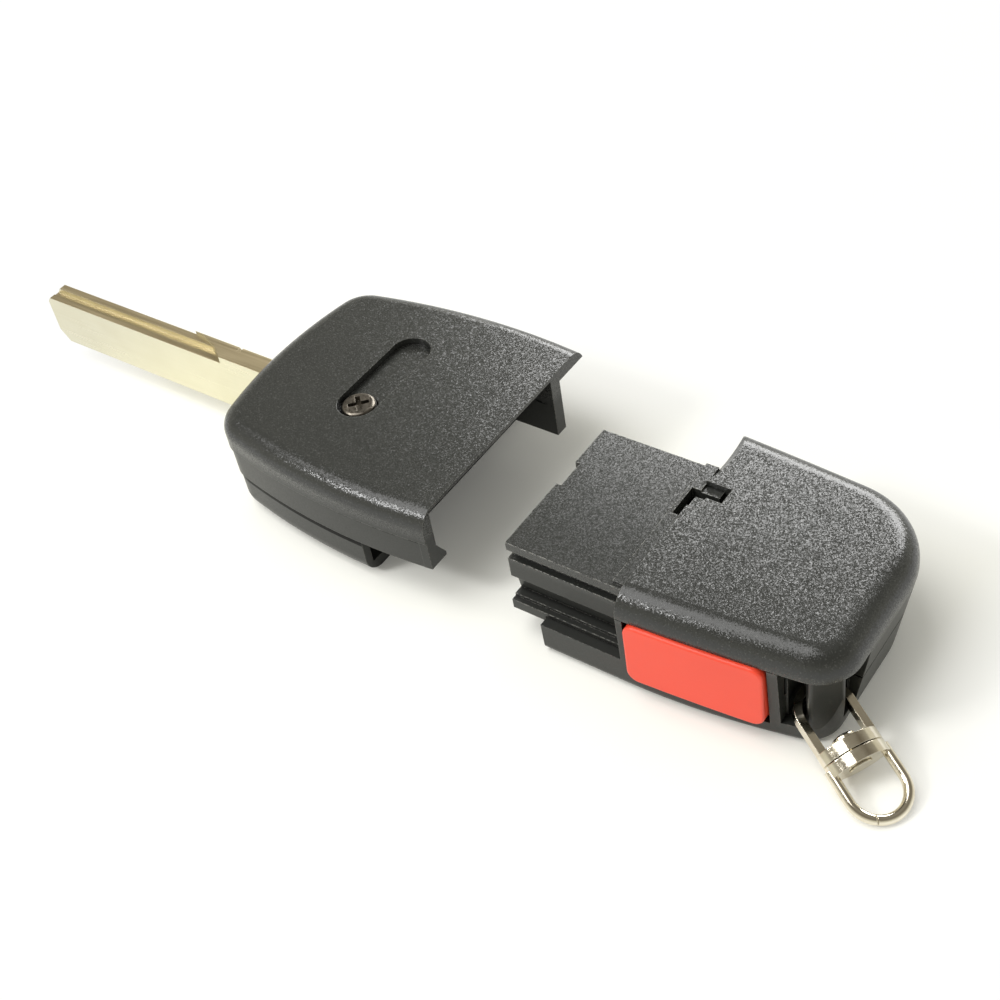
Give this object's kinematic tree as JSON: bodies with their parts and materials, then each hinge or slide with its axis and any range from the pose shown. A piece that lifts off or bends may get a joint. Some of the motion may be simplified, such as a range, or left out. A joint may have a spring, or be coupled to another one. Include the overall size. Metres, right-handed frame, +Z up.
{
  "type": "flip key remote",
  "caption": "Two-part car key lying apart: a head with a flip-out uncut blade and a slide-on remote half with a red side button and a swivelling key ring loop.",
  "frame": {"origin": "On the axis of the head's screw, in the plane that the front faces lie on", "axes": "+X from the blade's tip towards the key ring, +Y across the key towards the side that the blade folds into, +Z up from the front face to the back face"},
  "size_m": [0.1556, 0.0427, 0.0165],
  "materials": {
    "shell_plastic": "fine-grained moulded plastic",
    "tray_plastic": "smooth moulded plastic",
    "panic_red": "glossy red",
    "button_plastic": "smooth moulded plastic",
    "blade_metal": "plated brass, milled",
    "hub_metal": "die cast",
    "nickel": "bright nickel",
    "steel": "zinc plated",
    "board": "green solder mask",
    "cell_steel": "stamped can",
    "switch_metal": "stamped",
    "chip_ceramic": "potted"
  },
  "bodies": {
    "head": {"head_back_shell": "shell_plastic", "head_front_shell": "shell_plastic", "head_screw": "steel", "transponder_chip": "chip_ceramic"},
    "blade": {"key_blade": "blade_metal", "blade_hub": "hub_metal", "blade_pin": "steel", "flip_spring": "steel"},
    "release": {"release_button": "nickel"},
    "remote": {"remote_back_shell": "shell_plastic", "remote_front_shell": "shell_plastic", "remote_tray": "tray_plastic", "circuit_board": "board", "coin_cell": "cell_steel", "battery_contact_plus": "nickel", "battery_contact_minus": "nickel", "tact_switch_lock": "switch_metal", "tact_switch_unlock": "switch_metal", "tact_switch_trunk": "switch_metal", "tact_switch_panic": "switch_metal"},
    "lock_key": {"lock_button": "button_plastic"},
    "unlock_key": {"unlock_button": "button_plastic"},
    "trunk_key": {"trunk_button": "button_plastic"},
    "panic_key": {"panic_button": "panic_red"},
    "shackle": {"keyring_shackle": "nickel", "swivel_rivet": "nickel"},
    "loop": {"swivel_loop": "nickel"}
  },
  "joints": [
    {"name": "remote_slide", "type": "slide", "parent": "head", "child": "remote", "axis": [1, 0, 0], "range_m": [-0.02855, 0]},
    {"name": "blade_flip", "type": "hinge", "parent": "head", "child": "blade", "pos_m": [-0.00775, 0.01195, 0.009], "axis": [0, 0, 1], "range_deg": [-180, 0], "stiffness_Nm_per_rad": 0.01, "springref_deg": 20.05},
    {"name": "release_press", "type": "slide", "parent": "head", "child": "release", "axis": [0, 0, 1], "range_m": [0, 0.0014], "stiffness_N_per_m": 800, "springref_m": -0.0008, "deforming": ["flip_spring"]},
    {"name": "lock_press", "type": "slide", "parent": "remote", "child": "lock_key", "axis": [0, 0, 1], "range_m": [0, 0.0005], "stiffness_N_per_m": 1000, "springref_m": -0.0003},
    {"name": "unlock_press", "type": "slide", "parent": "remote", "child": "unlock_key", "axis": [0, 0, 1], "range_m": [0, 0.0005], "stiffness_N_per_m": 1000, "springref_m": -0.0003},
    {"name": "trunk_press", "type": "slide", "parent": "remote", "child": "trunk_key", "axis": [0, 0, 1], "range_m": [0, 0.0005], "stiffness_N_per_m": 1000, "springref_m": -0.0003},
    {"name": "panic_press", "type": "slide", "parent": "remote", "child": "panic_key", "axis": [0, 1, 0], "range_m": [0, 0.0006], "stiffness_N_per_m": 1000, "springref_m": -0.0003},
    {"name": "shackle_swing", "type": "hinge", "parent": "remote", "child": "shackle", "pos_m": [0.07525, -0.00925, 0.005], "axis": [0, 0, 1], "range_deg": [-30, 20]},
    {"name": "loop_swivel", "type": "hinge", "parent": "shackle", "child": "loop", "pos_m": [0.08108, -0.01249, 0.00287], "axis": [0.8333, -0.4619, -0.3039], "continuous": true}
  ]
}
